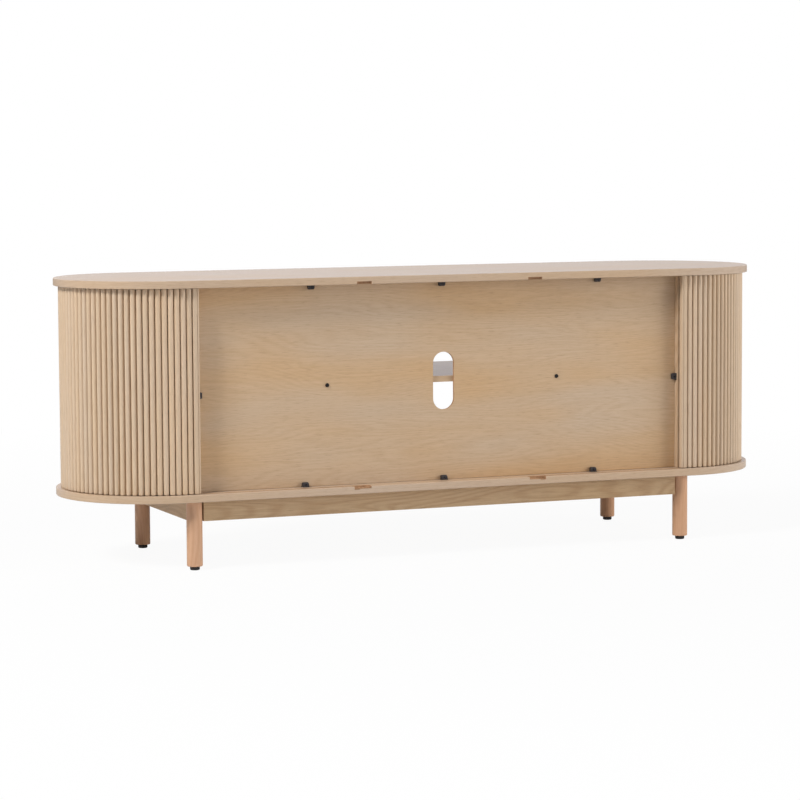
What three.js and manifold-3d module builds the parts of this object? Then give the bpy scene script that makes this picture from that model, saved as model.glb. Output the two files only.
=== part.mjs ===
// Low media cabinet with a stadium plan: two boards, a carcass between them, two slatted
// (tambour) doors that slide round the ends, and a base of four round legs joined by rails.
// Units are millimetres, +Z is up. The origin is on the floor at the middle of the plan,
// the front (open side) faces -Y and +X is to the right as seen from the front.
import * as THREE from "three";
import { mergeVertices } from "three/addons/utils/BufferGeometryUtils.js";
import Module from "manifold-3d";

const wasm = await Module();
wasm.setup();

// Overall sizes
const length = 1492;
const depth = 400;
const boardThickness = 15;
const innerHeight = 396;
const boardChamfer = 1.2;

// Base
const legDiameter = 30.8;
const legLength = 127;
const legEdgeInset = 16.6;
const legEndInset = 219.4;
const legChamfer = 1.2;
const legSpigotDiameter = 14;
const legSpigotLength = 8;
const footDiameter = 19;
const footHeight = 7;
const footChamfer = 1.5;
const footStemDiameter = 6;
const footStemLength = 14;
const railHeight = 39;
const railThickness = 18;
const railGap = 0.8;

// Carcass
const partitionThickness = 15;
const partitionInset = 29;
const dividerCentre = 248;
const carcassClearance = 4;
const panelThickness = 6;
const panelRecess = 38.2;
const shelfThickness = 12;
const shelfRise = 3;
const frontSetback = 4;
const sideShelfSetback = 24;

// Cable slot in the back panel
const slotWidth = 45;
const slotHeight = 115;

// Panel fasteners
const bracketWidth = 14;
const bracketHeight = 9;
const bracketDepth = 9;
const bracketBevel = 3;
const lowerBracketPlaces = [-328, 2, 297];
const upperBracketPlaces = [-338, 5, 282];
const sideBracketDrop = 10;
const screwShankDiameter = 3.6;
const screwHeadDiameter = 8;
const screwHeadHeight = 2.4;
const screwLength = 24;

// Doors
const slatsPerDoor = 72;
const slatInset = 9.5;
const slatThickness = 6.5;
const slatGap = 1.8;
const canvasThickness = 0.8;
const canvasRelief = 0.5;
const leadStileWidth = 22;
const tailStileWidth = 14;
const stileThickness = 11;
const stileEase = 1.5;
const leadEdgeGap = 0.8;
const tailEdgeLap = 1.6;
const frontGroups = 6;
const rearGroups = 6;
const doorEndClearance = 0.8;
const tongueThickness = 4;
const tongueLength = 2.6;
const grooveWidth = 6;
const grooveDepth = 3.6;
const notchInner = 170;
const notchOuter = 200;
const notchDepth = 6;

// Clearances
const fitGap = 0.3;
const roundSegments = 16;
const endSegments = 28;
const slatArcSteps = 4;

// Heights and plan radii that follow from the sizes above
const endRadius = depth / 2;
const endCentre = length / 2 - endRadius;
const bottomBoardBase = footHeight + legLength;
const bottomBoardTop = bottomBoardBase + boardThickness;
const topBoardBase = bottomBoardTop + innerHeight;
const midHeight = (bottomBoardTop + topBoardBase) / 2;
const carcassHeight = innerHeight - 2 * fitGap;
const slatTipRadius = endRadius - slatInset;
const slatBackRadius = slatTipRadius - slatThickness;
const canvasRadius = slatBackRadius - canvasThickness / 2;
const stileBackRadius = slatTipRadius - stileThickness;
const carcassHalfDepth = stileBackRadius - carcassClearance;
const bayFront = -(endRadius - frontSetback);
const panelRear = endRadius - panelRecess;
const panelFront = panelRear - panelThickness;
const partitionInner = endCentre - partitionInset;
const dividerInner = dividerCentre - partitionThickness / 2;
const dividerOuter = dividerCentre + partitionThickness / 2;
const legX = length / 2 - legEndInset;
const legY = endRadius - legEdgeInset - legDiameter / 2;

// The door's run, measured along the canvas from where the front straight meets the end curve
const leadEdge = dividerOuter + leadEdgeGap;
const tailEdge = partitionInner + tailEdgeLap;
const leadStart = -(endCentre - leadEdge);
const curveLength = Math.PI * canvasRadius;
const tailEnd = curveLength + endCentre - tailEdge;
const doorTravel = partitionInner - leadEdge;
const slatRun = tailEnd - leadStart - leadStileWidth - tailStileWidth;
const slatPitch = slatRun / slatsPerDoor;

const oak = { color: 0xd9c3b0, roughness: 0.55, metalness: 0 };
const slatWood = { color: 0xdcc2a6, roughness: 0.6, metalness: 0 };
const legWood = { color: 0xc9a583, roughness: 0.5, metalness: 0 };
const blackPlastic = { color: 0x1c1a1a, roughness: 0.5, metalness: 0 };
const blackSteel = { color: 0x202022, roughness: 0.35, metalness: 0.6 };

const cabinet = new THREE.Group();
cabinet.name = "media_cabinet";

function addPart(name, geometry, finish, position = [0, 0, 0], turn = 0) {
  const mesh = new THREE.Mesh(geometry, new THREE.MeshStandardMaterial(finish));
  mesh.name = name;
  mesh.position.set(...position);
  mesh.rotation.z = turn;
  cabinet.add(mesh);
  return mesh;
}

function toSolid(geometry) {
  const bare = geometry.clone();
  bare.deleteAttribute("normal");
  bare.deleteAttribute("uv");
  const merged = mergeVertices(bare, 1e-4);
  const vertProperties = new Float32Array(merged.attributes.position.array);
  const triVerts = new Uint32Array(merged.index.array);
  return new wasm.Manifold(new wasm.Mesh({ numProp: 3, vertProperties, triVerts }));
}

function toGeometry(solid) {
  const mesh = solid.getMesh();
  const geometry = new THREE.BufferGeometry();
  geometry.setAttribute("position", new THREE.BufferAttribute(mesh.vertProperties, 3));
  geometry.setIndex(new THREE.BufferAttribute(mesh.triVerts, 1));
  geometry.computeVertexNormals();
  return geometry;
}

function cut(geometry, cutters) {
  const solid = cutters.reduce((left, cutter) => left.subtract(toSolid(cutter)), toSolid(geometry));
  return toGeometry(solid);
}

// A block between two opposite corners
function block(low, high) {
  const size = high.map((value, axis) => value - low[axis]);
  const box = new THREE.BoxGeometry(...size);
  return box.translate(low[0] + size[0] / 2, low[1] + size[1] / 2, low[2] + size[2] / 2);
}

// A flat outline raised along Z from one height to another
function prism(shape, base, top, segments = roundSegments) {
  const options = { depth: top - base, bevelEnabled: false, curveSegments: segments };
  return new THREE.ExtrudeGeometry(shape, options).translate(0, 0, base);
}

function polygon(points) {
  return new THREE.Shape(points.map((point) => new THREE.Vector2(point[0], point[1])));
}

// A round piece turned about Z from [radius, height] points
function turned(profile) {
  return new THREE.LatheGeometry(
    profile.map((point) => new THREE.Vector2(point[0], point[1])),
    roundSegments,
  ).rotateX(Math.PI / 2);
}

// Where a point at a given run along the door lies on the right-hand side
function onPath(run, radius) {
  if (run < 0) return [endCentre + run, -radius];
  if (run > curveLength) return [endCentre - (run - curveLength), radius];
  const angle = run / canvasRadius;
  return [endCentre + radius * Math.sin(angle), -radius * Math.cos(angle)];
}

// Boards: stadium outlines with a chamfered edge, grooves for the door tongues, an entry notch
// at the rear for each door, and sockets for the leg spigots in the bottom board
function stadium(radius) {
  const shape = new THREE.Shape();
  shape.moveTo(-endCentre, -radius);
  shape.lineTo(endCentre, -radius);
  shape.absarc(endCentre, 0, radius, -Math.PI / 2, Math.PI / 2, false);
  shape.lineTo(-endCentre, radius);
  shape.absarc(-endCentre, 0, radius, Math.PI / 2, (3 * Math.PI) / 2, false);
  return shape;
}

function boardBlank(base) {
  return new THREE.ExtrudeGeometry(stadium(endRadius - boardChamfer), {
    depth: boardThickness - 2 * boardChamfer,
    bevelThickness: boardChamfer,
    bevelSize: boardChamfer,
    bevelSegments: 1,
    curveSegments: endSegments,
  }).translate(0, 0, base + boardChamfer);
}

const grooveCentre = (slatTipRadius + slatBackRadius) / 2;

function grooveShape(side) {
  const outer = grooveCentre + grooveWidth / 2;
  const inner = grooveCentre - grooveWidth / 2;
  const points = [];
  const frontEnd = dividerOuter;
  const rearEnd = (notchInner + notchOuter) / 2;
  points.push([frontEnd, -outer]);
  for (let step = 0; step <= endSegments; step += 1) {
    const angle = -Math.PI / 2 + (Math.PI * step) / endSegments;
    points.push([endCentre + outer * Math.cos(angle), outer * Math.sin(angle)]);
  }
  points.push([rearEnd, outer]);
  points.push([rearEnd, inner]);
  for (let step = endSegments; step >= 0; step -= 1) {
    const angle = -Math.PI / 2 + (Math.PI * step) / endSegments;
    points.push([endCentre + inner * Math.cos(angle), inner * Math.sin(angle)]);
  }
  points.push([frontEnd, -inner]);
  return polygon(points.map((point) => [side * point[0], point[1]]));
}

// Cutters for one board. Its inner face is at the given height and into is +1 or -1, the
// direction from that face into the board.
function boardCutters(innerFace, into) {
  const cutters = [];
  const open = innerFace - into * boardChamfer;
  const grooveFloor = innerFace + into * grooveDepth;
  const notchFloor = innerFace + into * notchDepth;
  for (const side of [-1, 1]) {
    const groove = prism(grooveShape(side), Math.min(open, grooveFloor), Math.max(open, grooveFloor));
    cutters.push(groove);
    const edges = [side * notchInner, side * notchOuter];
    const low = [Math.min(...edges), grooveCentre - grooveWidth / 2, Math.min(open, notchFloor)];
    const high = [Math.max(...edges), endRadius + boardChamfer, Math.max(open, notchFloor)];
    cutters.push(block(low, high));
  }
  return cutters;
}

const bottomCutters = boardCutters(bottomBoardTop, -1);
for (const sideX of [-1, 1]) {
  for (const sideY of [-1, 1]) {
    const socket = new THREE.CylinderGeometry(
      legSpigotDiameter / 2 + fitGap,
      legSpigotDiameter / 2 + fitGap,
      legSpigotLength + 2 * fitGap + boardChamfer,
      roundSegments,
    );
    socket.rotateX(Math.PI / 2);
    const socketCentre = bottomBoardBase + (legSpigotLength + fitGap - boardChamfer) / 2;
    bottomCutters.push(socket.translate(sideX * legX, sideY * legY, socketCentre));
  }
}
const topCutters = boardCutters(topBoardBase, 1);

addPart("bottom_board", cut(boardBlank(bottomBoardBase), bottomCutters), oak);
addPart("top_board", cut(boardBlank(topBoardBase), topCutters), oak);

// End partitions and dividers stand on the bottom board under the top board
const carcassBase = bottomBoardTop + fitGap;
const carcassTop = topBoardBase - fitGap;
const pilotRadius = screwShankDiameter / 2 + fitGap;

function alongY(radius, from, to, x, z) {
  const rod = new THREE.CylinderGeometry(radius, radius, to - from, 12);
  return rod.translate(x, (from + to) / 2, z);
}

for (const [sideName, side] of [["left", -1], ["right", 1]]) {
  const inner = side * partitionInner;
  const outer = side * (partitionInner + partitionThickness);
  addPart(
    `end_partition_${sideName}`,
    block(
      [Math.min(inner, outer), -carcassHalfDepth, carcassBase],
      [Math.max(inner, outer), carcassHalfDepth, carcassTop],
    ),
    oak,
  );
  const divider = block(
    [side * dividerCentre - partitionThickness / 2, bayFront, carcassBase],
    [side * dividerCentre + partitionThickness / 2, panelFront - fitGap, carcassTop],
  );
  const pilot = alongY(
    pilotRadius,
    panelRear - screwLength - fitGap,
    panelRear,
    side * dividerCentre,
    midHeight,
  );
  addPart(`divider_${sideName}`, cut(divider, [pilot]), oak);
}

// Shelves: one in the open middle bay and one behind each door
const shelfBase = midHeight + shelfRise - shelfThickness / 2;
const shelfTop = shelfBase + shelfThickness;

addPart(
  "centre_shelf",
  block(
    [-dividerInner + fitGap, bayFront, shelfBase],
    [dividerInner - fitGap, panelFront - fitGap, shelfTop],
  ),
  oak,
);

for (const [sideName, side] of [["left", -1], ["right", 1]]) {
  const inner = side * (dividerOuter + fitGap);
  const outer = side * (partitionInner - fitGap);
  addPart(
    `side_shelf_${sideName}`,
    block(
      [Math.min(inner, outer), -carcassHalfDepth + sideShelfSetback, shelfBase],
      [Math.max(inner, outer), panelFront - fitGap, shelfTop],
    ),
    oak,
  );
}

// Back panel with its cable slot and two screw holes
function slotShape() {
  const radius = slotWidth / 2;
  const straight = (slotHeight - slotWidth) / 2;
  const shape = new THREE.Shape();
  shape.moveTo(radius, -straight);
  shape.lineTo(radius, straight);
  shape.absarc(0, straight, radius, 0, Math.PI, false);
  shape.lineTo(-radius, -straight);
  shape.absarc(0, -straight, radius, Math.PI, 2 * Math.PI, false);
  return shape;
}

const panel = block(
  [-partitionInner + fitGap, panelFront, carcassBase],
  [partitionInner - fitGap, panelRear, carcassTop],
);
const slotCutter = new THREE.ExtrudeGeometry(slotShape(), {
  depth: panelThickness + 2,
  bevelEnabled: false,
  curveSegments: 12,
}).rotateX(Math.PI / 2).translate(0, panelRear + 1, midHeight);
const panelCutters = [slotCutter];
for (const side of [-1, 1]) {
  const hole = alongY(pilotRadius, panelFront - 1, panelRear + 1, side * dividerCentre, midHeight);
  panelCutters.push(hole);
}
addPart("back_panel", cut(panel, panelCutters), oak);

// Screws through the panel into the dividers; the shank lies along -Y from the head
for (const [sideName, side] of [["left", -1], ["right", 1]]) {
  const headRadius = screwHeadDiameter / 2;
  const shankRadius = screwShankDiameter / 2;
  const screw = turned([
    [0, -screwLength],
    [shankRadius * 0.4, -screwLength],
    [shankRadius, -screwLength + 4],
    [shankRadius, 0],
    [headRadius, 0],
    [headRadius, screwHeadHeight * 0.4],
    [headRadius * 0.7, screwHeadHeight],
    [0, screwHeadHeight],
  ]).rotateX(-Math.PI / 2);
  const place = [side * dividerCentre, panelRear + fitGap, midHeight];
  addPart(`panel_screw_${sideName}`, screw, blackSteel, place);
}

// Corner brackets behind the back panel: a block with its free corner bevelled.
// Drawn with the panel on the -Y side and the board or partition on the -Z side.
function bracket() {
  const profile = polygon([
    [0, 0],
    [bracketDepth, 0],
    [bracketDepth, bracketHeight - bracketBevel],
    [bracketDepth - bracketBevel, bracketHeight],
    [0, bracketHeight],
  ]);
  const solid = prism(profile, -bracketWidth / 2, bracketWidth / 2);
  // profile x becomes Y, profile y becomes Z and the extrusion becomes X
  return solid.rotateX(Math.PI / 2).rotateZ(Math.PI / 2);
}

lowerBracketPlaces.forEach((x, index) => {
  const lower = bracket().translate(x, panelRear + fitGap, bottomBoardTop + fitGap);
  addPart(`bracket_bottom_${index + 1}`, lower, blackPlastic);
});
upperBracketPlaces.forEach((x, index) => {
  const upper = bracket().rotateY(Math.PI).translate(x, panelRear + fitGap, topBoardBase - fitGap);
  addPart(`bracket_top_${index + 1}`, upper, blackPlastic);
});
for (const [sideName, side] of [["left", -1], ["right", 1]]) {
  const turnedBracket = bracket().rotateY((-side * Math.PI) / 2);
  const sideBracketHeight = midHeight - sideBracketDrop;
  turnedBracket.translate(side * (partitionInner - fitGap), panelRear + fitGap, sideBracketHeight);
  addPart(`bracket_side_${sideName}`, turnedBracket, blackPlastic);
}

// Legs, feet and rails
const legTop = bottomBoardBase - fitGap;
const legRadius = legDiameter / 2;
const stemRadius = footStemDiameter / 2;
const spigotRadius = legSpigotDiameter / 2;

const legGeometry = turned([
  [0, footHeight + footStemLength + fitGap],
  [stemRadius + fitGap, footHeight + footStemLength + fitGap],
  [stemRadius + fitGap, footHeight + fitGap],
  [legRadius - legChamfer, footHeight + fitGap],
  [legRadius, footHeight + fitGap + legChamfer],
  [legRadius, legTop],
  [spigotRadius, legTop],
  [spigotRadius, bottomBoardBase + legSpigotLength - fitGap],
  [0, bottomBoardBase + legSpigotLength - fitGap],
]);
const footRadius = footDiameter / 2;
const footGeometry = turned([
  [0, 0],
  [footRadius - footChamfer, 0],
  [footRadius, footChamfer],
  [footRadius, footHeight],
  [stemRadius, footHeight],
  [stemRadius, footHeight + footStemLength],
  [0, footHeight + footStemLength],
]);

for (const [depthName, sideY] of [["front", -1], ["rear", 1]]) {
  for (const [sideName, sideX] of [["left", -1], ["right", 1]]) {
    const place = [sideX * legX, sideY * legY, 0];
    addPart(`leg_${depthName}_${sideName}`, legGeometry.clone(), legWood, place);
    addPart(`foot_${depthName}_${sideName}`, footGeometry.clone(), blackPlastic, place);
  }
  const railEnd = legX - legRadius - railGap;
  addPart(
    `rail_${depthName}`,
    block(
      [-railEnd, sideY * legY - railThickness / 2, legTop - railHeight],
      [railEnd, sideY * legY + railThickness / 2, legTop],
    ),
    oak,
  );
}

for (const [sideName, side] of [["left", -1], ["right", 1]]) {
  const railEnd = legY - legRadius - railGap;
  addPart(
    `rail_${sideName}`,
    block(
      [side * legX - railThickness / 2, -railEnd, legTop - railHeight],
      [side * legX + railThickness / 2, railEnd, legTop],
    ),
    oak,
  );
}

// Doors. A door is a run of slats glued on canvas, divided into rigid groups. Each group's
// outline is drawn on the right-hand side along the door's run and mirrored for the left.
const doorBase = bottomBoardTop + doorEndClearance;
const doorTop = topBoardBase - doorEndClearance;

// One half-round slat's outer edge as [run, rise above the canvas face] points
function slatEdge(start) {
  const width = slatPitch - slatGap;
  const middle = start + slatPitch / 2;
  const points = [];
  for (let step = 0; step <= slatArcSteps; step += 1) {
    const angle = (Math.PI * step) / slatArcSteps;
    const rise = slatThickness * Math.sin(angle) ** 0.6;
    points.push([middle - (width / 2) * Math.cos(angle), Math.max(rise, 0)]);
  }
  return points;
}

// A stile's outer edge, with its two free corners eased
function stileEdge(start, width) {
  return [
    [start, 0],
    [start, slatThickness - stileEase],
    [start + stileEase, slatThickness],
    [start + width - stileEase, slatThickness],
    [start + width, slatThickness - stileEase],
    [start + width, 0],
  ];
}

function dividedEvenly(total, parts) {
  const small = Math.floor(total / parts);
  const spare = total - small * parts;
  return Array.from({ length: parts }, (_, index) => small + (index < spare ? 1 : 0));
}

// The slats that ever leave the straight front, those that stay on the curve, and the rest
const frontSlats = Math.ceil((-leadStart - leadStileWidth) / slatPitch);
const curveStart = leadStart + leadStileWidth + frontSlats * slatPitch;
const curveSlats = Math.floor((curveLength - doorTravel - curveStart) / slatPitch);
const rearSlats = slatsPerDoor - frontSlats - curveSlats;

function doorGroups() {
  const groups = [];
  let run = leadStart;
  dividedEvenly(frontSlats, frontGroups).forEach((count, index) => {
    const lead = index === 0 ? leadStileWidth : 0;
    groups.push({ name: `front_${index + 1}`, start: run, lead, count, tail: 0 });
    run += lead + count * slatPitch;
  });
  groups.push({ name: "middle", start: run, lead: 0, count: curveSlats, tail: 0 });
  run += curveSlats * slatPitch;
  dividedEvenly(rearSlats, rearGroups).forEach((count, index) => {
    const tail = index === rearGroups - 1 ? tailStileWidth : 0;
    groups.push({ name: `rear_${index + 1}`, start: run, lead: 0, count, tail });
    run += count * slatPitch + tail;
  });
  return groups;
}

// Outline of a group: the outer edges of its slats and stiles, then the back from end to start
function groupOutline(group) {
  const end = group.start + group.lead + group.count * slatPitch + group.tail;
  const stileBack = slatThickness - stileThickness;
  const outer = [];
  const back = [];
  let run = group.start;
  if (group.lead > 0) {
    outer.push(...stileEdge(run + canvasRelief, group.lead - canvasRelief - slatGap));
    back.push([run + canvasRelief, stileBack]);
    back.push([run + group.lead - slatGap, stileBack]);
    back.push([run + group.lead - slatGap, -canvasThickness]);
    run += group.lead;
  } else {
    outer.push([run + canvasRelief, -canvasThickness]);
    outer.push([run + canvasRelief, 0]);
  }
  for (let index = 0; index < group.count; index += 1) {
    outer.push(...slatEdge(run));
    run += slatPitch;
    back.push([run - slatPitch / 2, -canvasThickness]);
  }
  if (group.tail > 0) {
    outer.push(...stileEdge(run + slatGap, group.tail - slatGap - canvasRelief));
    back.push([run + slatGap, -canvasThickness]);
    back.push([run + slatGap, stileBack]);
    back.push([end - canvasRelief, stileBack]);
  } else {
    outer.push([end - canvasRelief, 0]);
    back.push([end - canvasRelief, -canvasThickness]);
  }
  const whole = [...outer, ...back.reverse()];
  return whole.map(([along, rise]) => onPath(along, slatBackRadius + rise));
}

function mirrored(points, side) {
  return side > 0 ? points : points.map((point) => [-point[0], point[1]]).reverse();
}

// The middle group never leaves the curve, so it carries tongues that run in both grooves
function tongueOutline(group) {
  const from = group.start + slatPitch;
  const span = (group.count - 2) * slatPitch;
  const steps = group.count - 2;
  const outer = [];
  const inner = [];
  for (let step = 0; step <= steps; step += 1) {
    const run = from + (span * step) / steps;
    outer.push(onPath(run, grooveCentre + tongueThickness / 2));
    inner.push(onPath(run, grooveCentre - tongueThickness / 2));
  }
  return [...outer, ...inner.reverse()];
}

for (const [sideName, side] of [["left", -1], ["right", 1]]) {
  for (const group of doorGroups()) {
    const outline = polygon(mirrored(groupOutline(group), side));
    let geometry = prism(outline, doorBase, doorTop);
    if (group.name === "middle") {
      const tongue = polygon(mirrored(tongueOutline(group), side));
      const whole = prism(tongue, doorBase - tongueLength, doorTop + tongueLength);
      geometry = toGeometry(toSolid(geometry).add(toSolid(whole)));
    }
    addPart(`door_${sideName}_${group.name}`, geometry, slatWood);
  }
}

export default cabinet;
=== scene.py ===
import math
import random
import bmesh
import bpy
from mathutils import Matrix, Vector


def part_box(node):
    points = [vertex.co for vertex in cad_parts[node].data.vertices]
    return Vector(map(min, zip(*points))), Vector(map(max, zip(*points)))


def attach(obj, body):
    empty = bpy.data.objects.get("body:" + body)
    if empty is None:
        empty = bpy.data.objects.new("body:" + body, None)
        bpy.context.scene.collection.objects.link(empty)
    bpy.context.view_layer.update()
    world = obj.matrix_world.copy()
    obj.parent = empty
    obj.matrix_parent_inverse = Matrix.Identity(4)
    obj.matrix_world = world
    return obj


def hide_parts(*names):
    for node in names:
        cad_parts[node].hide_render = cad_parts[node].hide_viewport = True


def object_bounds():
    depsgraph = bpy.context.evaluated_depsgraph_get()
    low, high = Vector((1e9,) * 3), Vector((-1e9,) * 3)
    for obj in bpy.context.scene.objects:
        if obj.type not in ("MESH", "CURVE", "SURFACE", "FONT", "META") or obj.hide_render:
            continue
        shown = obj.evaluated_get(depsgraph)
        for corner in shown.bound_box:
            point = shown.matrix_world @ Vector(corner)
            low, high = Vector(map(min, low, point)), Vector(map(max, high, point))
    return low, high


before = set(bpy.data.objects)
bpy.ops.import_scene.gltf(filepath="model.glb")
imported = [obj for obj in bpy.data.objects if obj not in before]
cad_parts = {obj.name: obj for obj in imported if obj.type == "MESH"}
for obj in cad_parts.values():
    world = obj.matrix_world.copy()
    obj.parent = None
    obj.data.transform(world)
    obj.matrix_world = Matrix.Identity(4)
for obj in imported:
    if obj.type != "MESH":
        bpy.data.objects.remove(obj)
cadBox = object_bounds()
random.seed(7)

# Places are read from the frame, in metres
boardLow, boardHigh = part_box("top_board")
baseLow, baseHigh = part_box("bottom_board")
panelLow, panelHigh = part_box("back_panel")
plainGroupLow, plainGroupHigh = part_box("door_right_front_2")
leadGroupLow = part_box("door_right_front_1")[0]
middleLow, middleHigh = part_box("door_right_middle")
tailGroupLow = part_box("door_right_rear_6")[0]

endRadius = boardHigh.y
endCentre = boardHigh.x - endRadius
midHeight = (baseHigh.z + boardLow.z) / 2
bodyRoot = "root"
cutMargin = 0.001  # how far a cutter reaches past what it cuts
axisRadius = 0.0001  # how near its axis a turned outline starts and ends
holeSteps = 20  # sides of a small round hole


# A new object from a bmesh, on the given CAD body, standing for the given CAD nodes;
# edges that turn less than smoothAngle, in degrees, are shaded as round
def addPiece(name, mesh, body, materials, nodes, smoothAngle=40):
    data = bpy.data.meshes.new(name)
    mesh.normal_update()
    mesh.to_mesh(data)
    mesh.free()
    piece = bpy.data.objects.new(name, data)
    bpy.context.scene.collection.objects.link(piece)
    for material in materials:
        data.materials.append(material)
    shadeByFace(piece, smoothAngle)
    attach(piece, body)
    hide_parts(*nodes)
    return piece


# Soft shading over rounded edges that leaves the flat faces flat
def shadeByFace(piece, angle):
    piece.data.shade_smooth()
    piece.data.set_sharp_from_angle(angle=math.radians(angle))
    if "evenNormals" not in piece.modifiers:
        weighting = piece.modifiers.new("evenNormals", "WEIGHTED_NORMAL")
        weighting.keep_sharp = True
        weighting.weight = 100


# Joins rings of equal length into a skin, closes its two ends, and returns the new faces
def skinRings(mesh, rings):
    rows = [[mesh.verts.new(point) for point in ring] for ring in rings]
    faces = []
    count = len(rows[0])
    for lower, upper in zip(rows, rows[1:]):
        for index in range(count):
            following = (index + 1) % count
            faces.append(mesh.faces.new((lower[index], lower[following], upper[following], upper[index])))
    faces.append(mesh.faces.new(list(reversed(rows[0]))))
    faces.append(mesh.faces.new(rows[-1]))
    return faces


# An outline in plan, raised from one height to another
def raised(outline, low, high):
    mesh = bmesh.new()
    skinRings(mesh, [[(x, y, height) for x, y in outline] for height in (low, high)])
    return mesh


# An outline across and up, drawn out along Y from one place to another
def drawnBack(outline, low, high):
    mesh = bmesh.new()
    skinRings(mesh, [[(x, y, z) for x, z in outline] for y in (low, high)])
    return mesh


# A round piece turned about Z from [radius, height] points, centred on a place in plan
def turnedPiece(profile, place, segments):
    mesh = bmesh.new()
    rings = []
    for radius, height in profile:
        ring = []
        for index in range(segments):
            angle = 2 * math.pi * index / segments
            ring.append((place[0] + radius * math.cos(angle), place[1] + radius * math.sin(angle), height))
        rings.append(ring)
    skinRings(mesh, rings)
    return mesh


# A block between two corners, for the panel before its cuts and for square cutters
def boxMesh(low, high):
    mesh = bmesh.new()
    bmesh.ops.create_cube(mesh, size=1)
    size = Vector(high) - Vector(low)
    middle = (Vector(high) + Vector(low)) / 2
    fit = Matrix.Translation(middle) @ Matrix.Diagonal((*size, 1))
    bmesh.ops.transform(mesh, matrix=fit, verts=mesh.verts)
    return mesh


# A round cutter along Y
def holeMesh(x, z, radius, low, high):
    angles = [2 * math.pi * step / holeSteps for step in range(holeSteps)]
    outline = [(x + radius * math.cos(angle), z + radius * math.sin(angle)) for angle in angles]
    return drawnBack(outline, low, high)


# Cuts one mesh out of another; the cut faces take the material of that index
def cutAway(piece, cutterMesh, materialIndex=1):
    for face in cutterMesh.faces:
        face.material_index = materialIndex
    data = bpy.data.meshes.new("cutter")
    bmesh.ops.recalc_face_normals(cutterMesh, faces=cutterMesh.faces)
    cutterMesh.to_mesh(data)
    cutterMesh.free()
    for material in piece.data.materials:
        data.materials.append(material)
    cutter = bpy.data.objects.new("cutter", data)
    bpy.context.scene.collection.objects.link(cutter)
    modifier = piece.modifiers.new("cut", "BOOLEAN")
    modifier.operation = "DIFFERENCE"
    modifier.solver = "EXACT"
    modifier.object = cutter
    applyModifiers(piece)
    bpy.data.objects.remove(cutter)


def applyModifiers(piece):
    bpy.context.view_layer.update()
    graph = bpy.context.evaluated_depsgraph_get()
    made = bpy.data.meshes.new_from_object(piece.evaluated_get(graph))
    old = piece.data
    piece.modifiers.clear()
    piece.data = made
    made.name = piece.name
    bpy.data.meshes.remove(old)


# Rounds a piece's sharp edges by a bevel
def easeEdges(piece, width, segments):
    bevel = piece.modifiers.new("eased", "BEVEL")
    bevel.width = width
    bevel.segments = segments
    bevel.limit_method = "ANGLE"


# Keeps the grain's coordinates, three numbers for each face corner
def layGrain(piece, values):
    laid = piece.data.attributes.new("grainPlace", "FLOAT_VECTOR", "CORNER")
    laid.data.foreach_set("vector", values)


print("stage: materials")


# The linear colour of red, green and blue given from 0 to 255
def linear(colour):
    return [((c / 255 + 0.055) / 1.055) ** 2.4 if c > 10 else c / 255 / 12.92 for c in colour] + [1.0]


def node(tree, kind, place, **values):
    made = tree.nodes.new(kind)
    made.location = place
    for name, value in values.items():
        setattr(made, name, value)
    return made


def newMaterial(name):
    material = bpy.data.materials.new(name)
    material.use_nodes = True
    tree = material.node_tree
    tree.nodes.clear()
    output = node(tree, "ShaderNodeOutputMaterial", (900, 0))
    shader = node(tree, "ShaderNodeBsdfPrincipled", (600, 0))
    tree.links.new(shader.outputs["BSDF"], output.inputs["Surface"])
    return material, tree, shader


def objectPlace(tree, place=(-900, 0)):
    return node(tree, "ShaderNodeTexCoord", place).outputs["Object"]


# Coordinates with X along the grain, in metres
def grainPlace(tree, source):
    if source == "laid":
        laid = node(tree, "ShaderNodeAttribute", (-1500, 0), attribute_name="grainPlace")
        return laid.outputs["Vector"]
    place = objectPlace(tree, (-1700, 0))
    if source == "X":
        return place
    split = node(tree, "ShaderNodeSeparateXYZ", (-1500, 0))
    joined = node(tree, "ShaderNodeCombineXYZ", (-1350, 0))
    tree.links.new(place, split.inputs[0])
    for index, axis in enumerate({"Y": "YXZ", "Z": "ZXY"}[source]):
        tree.links.new(split.outputs[axis], joined.inputs[index])
    return joined.outputs[0]


# Coordinates multiplied along each axis, so that a texture repeats by that many in a metre
def stretched(tree, coordinates, scale, place):
    made = node(tree, "ShaderNodeVectorMath", place, operation="MULTIPLY")
    tree.links.new(coordinates, made.inputs[0])
    made.inputs[1].default_value = scale
    return made.outputs["Vector"]


def noise(tree, vector, place, scale=1.0, detail=3.0, rough=0.5):
    made = node(tree, "ShaderNodeTexNoise", place)
    made.inputs["Scale"].default_value = scale
    made.inputs["Detail"].default_value = detail
    made.inputs["Roughness"].default_value = rough
    tree.links.new(vector, made.inputs["Vector"])
    return made.outputs["Fac"]


# Parallel bands across X or Y, with values for the texture's own sockets
def bands(tree, vector, direction, place, values):
    made = node(tree, "ShaderNodeTexWave", place, wave_type="BANDS", bands_direction=direction)
    for socket, value in values.items():
        made.inputs[socket].default_value = value
    tree.links.new(vector, made.inputs["Vector"])
    return made.outputs["Fac"]


def ramp(tree, value, stops, place):
    made = node(tree, "ShaderNodeValToRGB", place)
    while len(made.color_ramp.elements) < len(stops):
        made.color_ramp.elements.new(0.5)
    for element, (position, colour) in zip(made.color_ramp.elements, stops):
        element.position = position
        element.color = colour
    tree.links.new(value, made.inputs[0])
    return made.outputs["Color"]


def greys(*stops):
    return [(position, (value, value, value, 1)) for position, value in stops]


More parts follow.
